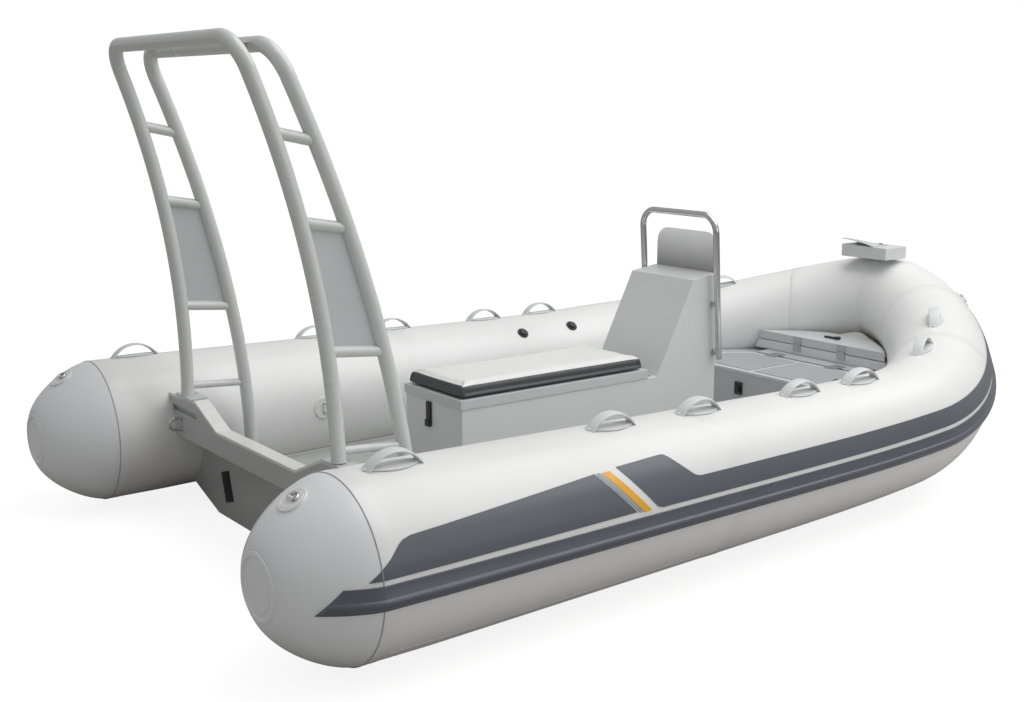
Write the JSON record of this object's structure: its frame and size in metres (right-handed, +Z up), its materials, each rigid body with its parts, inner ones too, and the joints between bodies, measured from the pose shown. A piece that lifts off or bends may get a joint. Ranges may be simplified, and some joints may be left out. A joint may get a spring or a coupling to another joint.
{
  "type": "rigid inflatable boat",
  "caption": "Open rigid inflatable boat with a raised aft arch, a seat box joined to a low helm console with a screen and a rail, a fore hatch and a bow locker.",
  "frame": {"origin": "on the centreline, at the aft face of the upper transom, at the light waterline", "axes": "+X forward to the bow, +Y to port, +Z up"},
  "size_m": [3.8969, 2.362, 1.893],
  "materials": {
    "tube_fabric": "satin",
    "cone_grey": "satin",
    "strake_rubber": "satin",
    "hull_gelcoat": "gloss",
    "deck_grey": "textured",
    "transom_grey": "gloss",
    "white_gelcoat": "gloss",
    "painted_sheet": "satin",
    "lid_white": "satin",
    "tread_grey": "textured",
    "arch_white": "gloss",
    "arch_grey": "satin",
    "handle_white": "satin",
    "black_plastic": "satin",
    "stainless": "polished",
    "cushion_vinyl": "satin",
    "smoked_screen": "gloss"
  },
  "bodies": {
    "boat": {"tube_port": "tube_fabric", "tube_starboard": "tube_fabric", "bow_tube": "tube_fabric", "stern_cone_port": "cone_grey", "stern_cone_starboard": "cone_grey", "rub_strake_port": "strake_rubber", "rub_strake_starboard": "strake_rubber", "rub_strake_bow": "strake_rubber", "hull_bottom": "hull_gelcoat", "hull_ledges": "hull_gelcoat", "spray_rails": "hull_gelcoat", "keel_band": "stainless", "deck_floor": "deck_grey", "transom": "transom_grey", "transom_cap": "white_gelcoat", "transom_knees": "transom_grey", "towing_eyes": "stainless", "scupper_flaps": "black_plastic", "grab_handles_port": "handle_white", "grab_handles_starboard": "handle_white", "stern_lashing_rings": "stainless", "inner_lashing_rings": "stainless", "bow_lashing_rings": "stainless", "inflation_valves": "black_plastic", "arch_aft_hoop": "arch_white", "arch_fore_hoop": "arch_white", "arch_rungs": "arch_white", "arch_panels": "arch_grey", "arch_feet": "arch_grey", "arch_top_plates": "arch_grey", "console_seat": "painted_sheet", "seat_latch": "black_plastic", "seat_hinge": "stainless", "windscreen": "smoked_screen", "console_rail": "stainless", "fore_platform": "painted_sheet", "hatch_latch": "black_plastic", "hatch_hinges": "stainless", "bow_locker": "painted_sheet", "locker_hinges": "stainless", "bow_box": "painted_sheet"},
    "seat_lid_body": {"seat_lid": "lid_white", "seat_cushion": "cushion_vinyl"},
    "fore_hatch_body": {"fore_hatch": "lid_white", "nonskid_panels": "tread_grey", "hatch_leaves": "stainless"},
    "bow_locker_lid_body": {"bow_locker_lid": "lid_white", "locker_handle": "black_plastic", "locker_leaves": "stainless"}
  },
  "joints": [
    {"name": "seat_lid_hinge", "type": "hinge", "parent": "boat", "child": "seat_lid_body", "pos_m": [1.588, 0, 0.4473], "axis": [0, 1, 0], "range_deg": [0, 60]},
    {"name": "fore_hatch_hinge", "type": "hinge", "parent": "boat", "child": "fore_hatch_body", "pos_m": [2.7, 0, 0.3415], "axis": [0, 1, 0], "range_deg": [0, 95]},
    {"name": "bow_locker_lid_hinge", "type": "hinge", "parent": "boat", "child": "bow_locker_lid_body", "pos_m": [2.7954, 0, 0.39], "axis": [0, -1, 0], "range_deg": [0, 95]}
  ]
}
